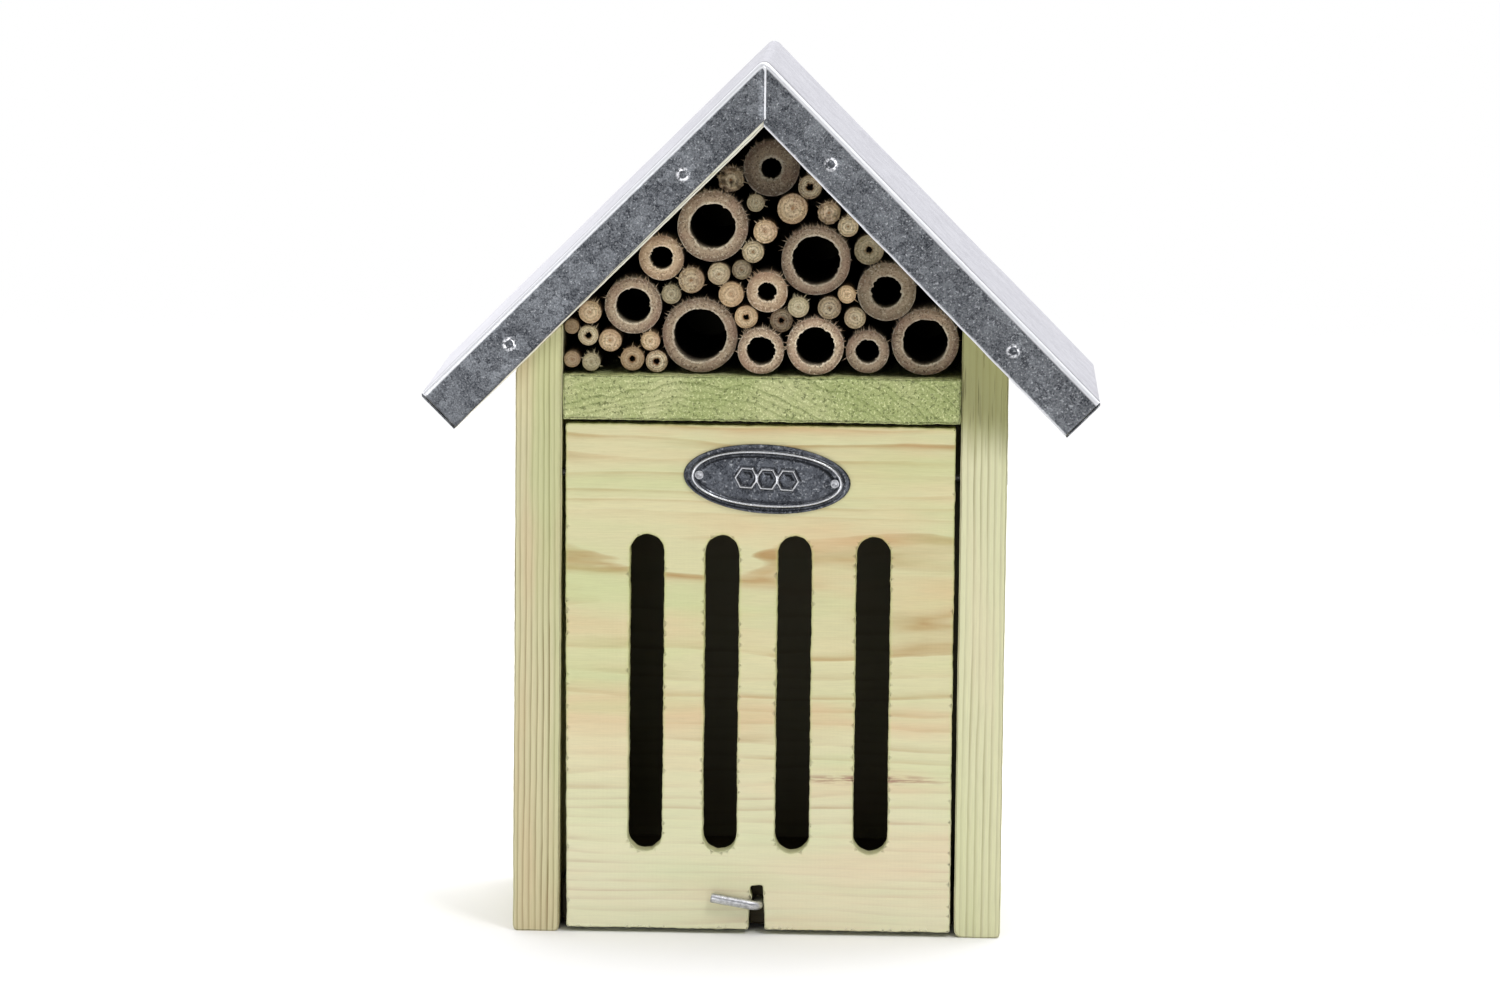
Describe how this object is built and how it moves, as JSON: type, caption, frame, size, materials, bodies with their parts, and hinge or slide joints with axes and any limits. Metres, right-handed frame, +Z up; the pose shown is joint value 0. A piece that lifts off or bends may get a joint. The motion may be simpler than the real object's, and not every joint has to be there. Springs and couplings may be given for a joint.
{
  "type": "insect hotel",
  "caption": "Gabled wooden insect house with a folded metal roof, a gable filled with bamboo and reeds, and a slotted panel that swings up over a hollow chamber.",
  "frame": {"origin": "middle of the base, on the surface it stands on", "axes": "+Z up, -Y towards the front panel, +X to the right seen from the front"},
  "size_m": [0.24, 0.124, 0.3146],
  "materials": {
    "pine": "rough-sawn treated pine, unpainted",
    "panel_pine": "planed treated pine, unpainted",
    "pine_end_grain": "rough-sawn end grain, greenish",
    "bamboo": "sawn bamboo",
    "reed": "sawn reed",
    "galvanised_sheet": "dull galvanised, mottled",
    "plate_metal": "darkened galvanised",
    "bright_steel": "zinc plated"
  },
  "bodies": {
    "house": {"left_side_board": "pine", "right_side_board": "pine", "back_board": "pine", "shelf_board": "pine_end_grain", "floor_board": "pine", "left_roof_board": "pine", "right_roof_board": "pine", "roof_sheet": "galvanised_sheet", "sheet_nails": "bright_steel", "board_nails": "bright_steel", "hinge_nails": "bright_steel", "hanger_plate": "galvanised_sheet", "hanger_screws": "bright_steel", "bamboo_tube_01": "bamboo", "bamboo_tube_02": "bamboo", "bamboo_tube_03": "bamboo", "bamboo_tube_04": "bamboo", "bamboo_tube_05": "bamboo", "bamboo_tube_06": "bamboo", "bamboo_tube_07": "bamboo", "bamboo_tube_08": "bamboo", "bamboo_tube_09": "bamboo", "bamboo_tube_10": "bamboo", "bamboo_tube_11": "bamboo", "bamboo_tube_12": "bamboo", "reed_stem_01": "reed", "reed_stem_02": "reed", "reed_stem_03": "reed", "reed_stem_04": "reed", "reed_stem_05": "reed", "reed_stem_06": "reed", "reed_stem_07": "reed", "reed_stem_08": "reed", "reed_stem_09": "reed", "reed_stem_10": "reed", "reed_stem_11": "reed", "reed_stem_12": "reed", "reed_stem_13": "reed", "reed_stem_14": "reed", "reed_stem_15": "reed", "reed_stem_16": "reed", "reed_stem_17": "reed", "reed_stem_18": "reed", "reed_stem_19": "reed", "reed_stem_20": "reed", "reed_stem_21": "reed", "reed_stem_22": "reed", "reed_stem_23": "reed", "reed_stem_24": "reed", "reed_stem_25": "reed", "reed_stem_26": "reed", "reed_stem_27": "reed", "reed_stem_28": "reed", "reed_stem_29": "reed"},
    "panel": {"front_panel": "panel_pine", "name_plate": "plate_metal", "plate_nails": "bright_steel"},
    "hook": {"turn_hook": "bright_steel"}
  },
  "joints": [
    {"name": "panel_hinge", "type": "hinge", "parent": "house", "child": "panel", "pos_m": [0, -0.0415, 0.1662], "axis": [-1, 0, 0], "range_deg": [0, 150]},
    {"name": "hook_turn", "type": "hinge", "parent": "house", "child": "hook", "pos_m": [0.0006, -0.0455, 0.0109], "axis": [0, -1, 0], "range_deg": [-80.5, 99.5]}
  ]
}
